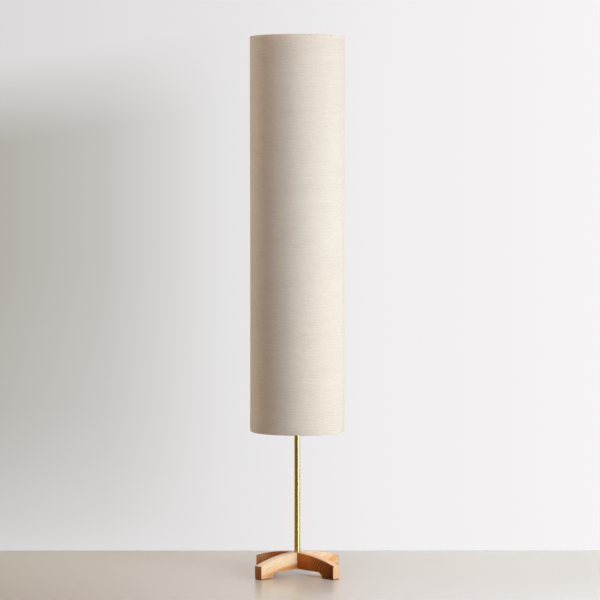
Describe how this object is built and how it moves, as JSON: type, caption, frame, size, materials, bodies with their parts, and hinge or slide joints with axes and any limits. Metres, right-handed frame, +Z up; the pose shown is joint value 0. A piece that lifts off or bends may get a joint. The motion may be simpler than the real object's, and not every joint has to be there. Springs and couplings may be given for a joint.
{
  "type": "column floor lamp",
  "caption": "Floor lamp with a tall cylindrical linen shade on a slim brass pole, standing on a crossed arched wooden base.",
  "frame": {"origin": "on the floor, straight under the pole's axis", "axes": "+Z up along the pole, +X along the lower half-lapped beam of the base, +Y along the upper one; the picture looks along +X+Y"},
  "size_m": [0.324, 0.324, 1.588],
  "materials": {
    "wood": "light hardwood with a satin clear oil, grain along each beam",
    "felt": "dense brown wool felt",
    "brass": "brushed antique brass, satin",
    "zinc_steel": "zinc plated steel",
    "aluminium": "bright drawn aluminium",
    "black_plastic": "moulded black plastic, fine texture",
    "black_lead": "black sheathed lead",
    "red_lead": "brown-red sheathed lead",
    "phenolic": "moulded dark phenolic",
    "sleeve_board": "grey-brown insulating board",
    "white_plastic": "matt white plastic",
    "opal_glass": "satin opal glass, opaque white when unlit",
    "linen": "oatmeal linen weave with thick and thin slubs",
    "liner": "thin white styrene film bonded behind the linen",
    "ring_steel": "plain drawn steel wire and plate, dull plated"
  },
  "bodies": {
    "lamp": {"lower_beam": "wood", "upper_beam": "wood", "foot_pads": "felt", "base_nipple": "zinc_steel", "base_washer": "zinc_steel", "base_lock_washer": "zinc_steel", "base_nut": "brass", "cord_bushing": "black_plastic", "pole_foot_insert": "zinc_steel", "lower_pole": "brass", "middle_pole": "brass", "upper_pole": "brass", "lower_coupler": "brass", "upper_coupler": "brass", "pole_top_plug": "brass", "finial": "brass", "lower_lamp_lead": "black_lead", "upper_lamp_lead": "red_lead", "lower_arm": "brass", "upper_arm": "brass", "lower_arm_nut": "brass", "upper_arm_nut": "brass", "lower_socket_cap": "brass", "upper_socket_cap": "brass", "cap_set_screws": "zinc_steel", "lower_contact_block": "phenolic", "upper_contact_block": "phenolic", "lower_centre_contact": "brass", "upper_centre_contact": "brass", "lower_screw_shell": "aluminium", "upper_screw_shell": "aluminium", "lower_insulating_sleeve": "sleeve_board", "upper_insulating_sleeve": "sleeve_board", "lower_socket_shell": "brass", "upper_socket_shell": "brass", "lower_bulb_cap": "aluminium", "upper_bulb_cap": "aluminium", "lower_bulb_collar": "white_plastic", "upper_bulb_collar": "white_plastic", "lower_bulb_globe": "opal_glass", "upper_bulb_globe": "opal_glass"},
    "shade": {"shade_linen": "linen", "shade_liner": "liner", "top_ring": "ring_steel", "bottom_ring": "ring_steel", "spider_hub": "ring_steel", "spider_arms": "ring_steel"},
    "lower_key": {"lower_switch_key": "black_plastic"},
    "upper_key": {"upper_switch_key": "black_plastic"}
  },
  "joints": [
    {"name": "shade_turn", "type": "hinge", "parent": "lamp", "child": "shade", "pos_m": [0, 0, 1.5403], "axis": [0, 0, 1], "continuous": true},
    {"name": "lower_switch_turn", "type": "hinge", "parent": "lamp", "child": "lower_key", "pos_m": [0.065, 0, 0.613], "axis": [1, 0, 0], "continuous": true},
    {"name": "upper_switch_turn", "type": "hinge", "parent": "lamp", "child": "upper_key", "pos_m": [-0.065, 0, 1.243], "axis": [-1, 0, 0], "continuous": true}
  ]
}
